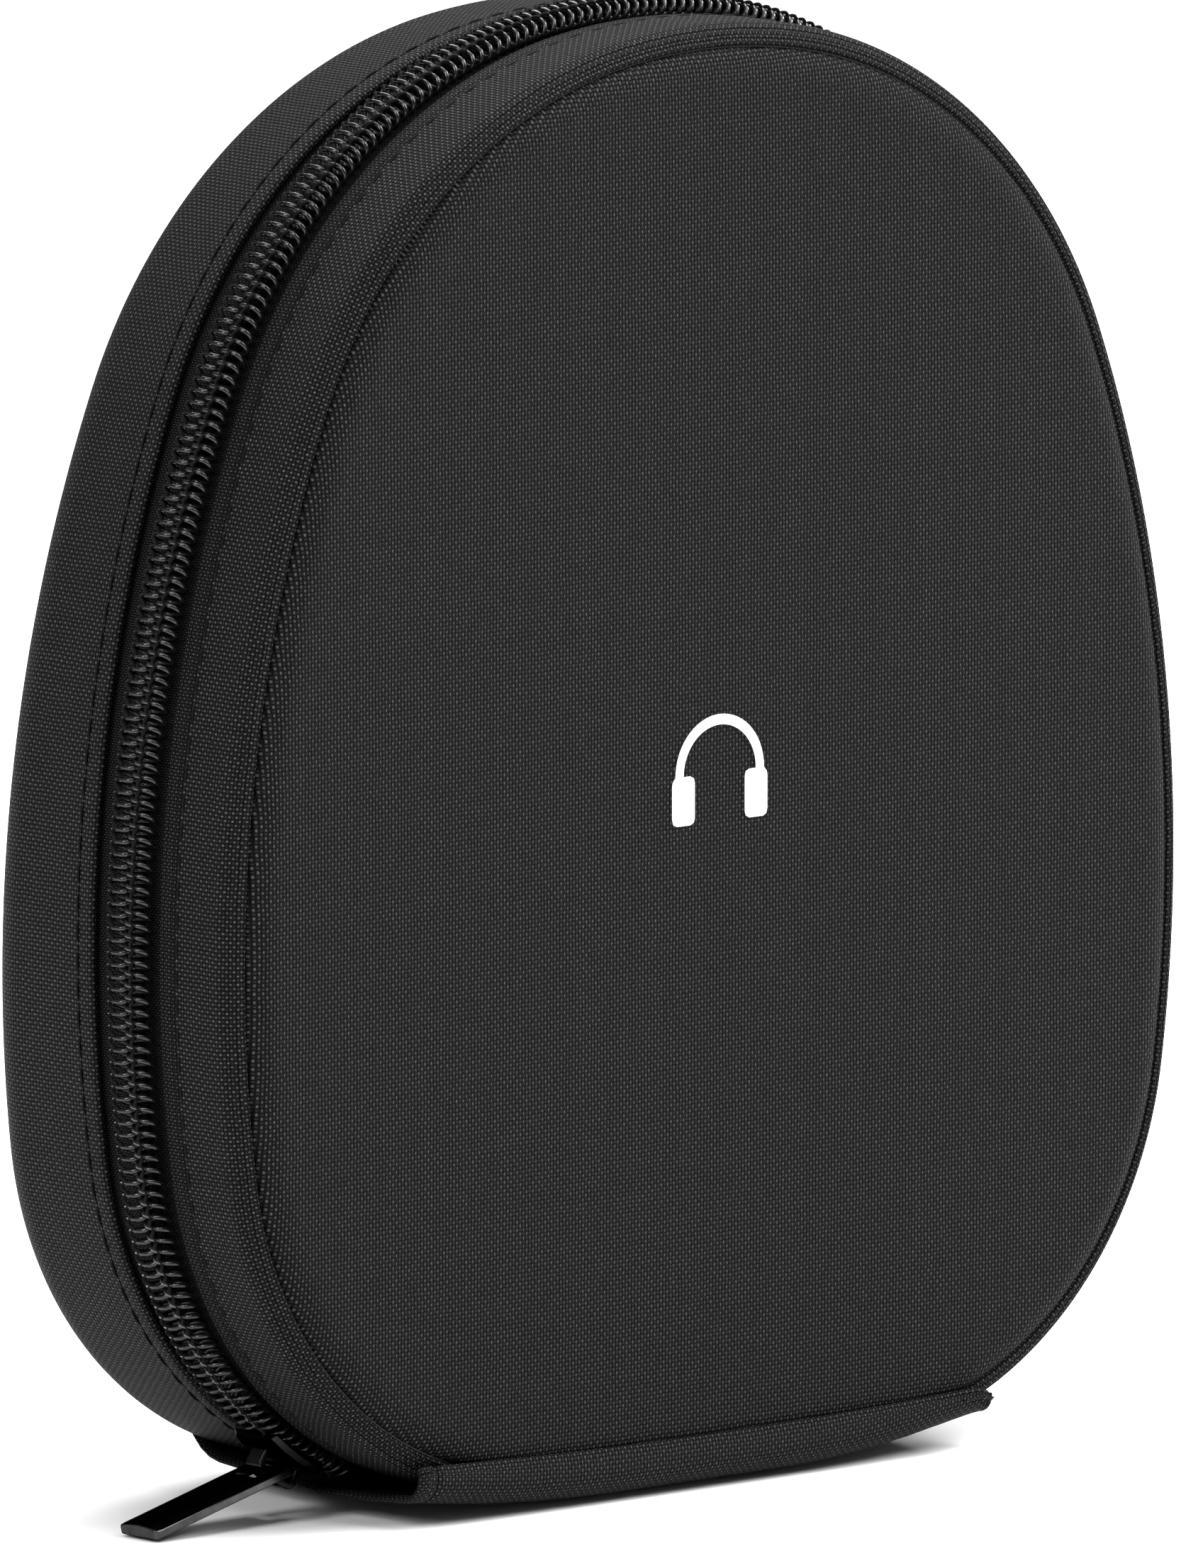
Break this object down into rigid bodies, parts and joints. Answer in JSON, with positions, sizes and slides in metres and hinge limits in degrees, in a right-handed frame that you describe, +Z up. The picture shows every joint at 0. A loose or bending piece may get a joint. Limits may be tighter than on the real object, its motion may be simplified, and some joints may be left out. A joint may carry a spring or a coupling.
{
  "type": "headphone carrying case",
  "caption": "Rounded hard-shell fabric case for over-ear headphones, with two moulded halves on a folding fabric spine, a perimeter coil zip and a metal pull tab.",
  "frame": {"origin": "the middle of the flat foot under the fabric spine, on the zip's centre plane", "axes": "+X across the case, +Y from the front half to the rear half, +Z up along the case's height"},
  "size_m": [0.1742, 0.0556, 0.1991],
  "materials": {
    "face_fabric": "coarse plain-weave polyester over foam, charcoal melange",
    "cover_fabric": "the same weave, finer on the sides, charcoal melange",
    "hem_fabric": "folded and ribbed edge binding, dark grey",
    "spine_fabric": "fine plain-weave strip, charcoal",
    "moulded_core": "moulded foam board, black",
    "lining_fabric": "brushed knit lining, dark grey",
    "zip_tape": "woven herringbone tape, black",
    "zip_coil": "glossy black nylon coil",
    "black_metal": "glossy black plated metal",
    "moulded_tray": "moulded foam, dark grey",
    "pocket_mesh": "elastic mesh, black",
    "white_print": "white heat-transfer print"
  },
  "bodies": {
    "rear_half": {"rear_shell": "moulded_core", "rear_cover": "cover_fabric", "rear_lining": "lining_fabric", "rear_hem": "hem_fabric", "rear_zip_tape": "zip_tape", "rear_zip_coil": "zip_coil", "rear_zip_stop_left": "black_metal", "rear_zip_stop_right": "black_metal", "back_panel": "face_fabric", "accessory_tray": "moulded_tray", "spine_rear_strip": "spine_fabric"},
    "spine": {"spine_base": "spine_fabric", "spine_hem_left": "hem_fabric", "spine_hem_right": "hem_fabric"},
    "front_half": {"front_shell": "moulded_core", "front_cover": "cover_fabric", "front_lining": "lining_fabric", "front_hem": "hem_fabric", "front_zip_tape": "zip_tape", "front_zip_coil": "zip_coil", "front_zip_stop_left": "black_metal", "front_zip_stop_right": "black_metal", "face_panel": "face_fabric", "face_print": "white_print", "lid_pocket": "pocket_mesh", "pocket_elastic": "hem_fabric", "spine_front_strip": "spine_fabric"},
    "slider": {"slider_body": "black_metal", "slider_bridge": "black_metal"},
    "pull": {"pull_tab": "black_metal"}
  },
  "joints": [
    {"name": "rear_fold", "type": "hinge", "parent": "rear_half", "child": "spine", "pos_m": [0, 0.0229, 0.0009], "axis": [1, 0, 0], "range_deg": [0, 60]},
    {"name": "front_fold", "type": "hinge", "parent": "spine", "child": "front_half", "pos_m": [0, -0.0205, 0.001], "axis": [1, 0, 0], "range_deg": [0, 120]},
    {"name": "slider_travel", "type": "hinge", "parent": "rear_half", "child": "slider", "pos_m": [-0.02951, 0, 0.05686], "axis": [0, 1, 0], "range_deg": [0, 45]},
    {"name": "tab_swing", "type": "hinge", "parent": "slider", "child": "pull", "pos_m": [-0.06123, 0, 0.00706], "axis": [0, 1, 0], "range_deg": [-110, 42]}
  ],
  "couplings": [
    {"joint": "rear_fold", "follows": "front_fold", "ratio": 0.5}
  ]
}
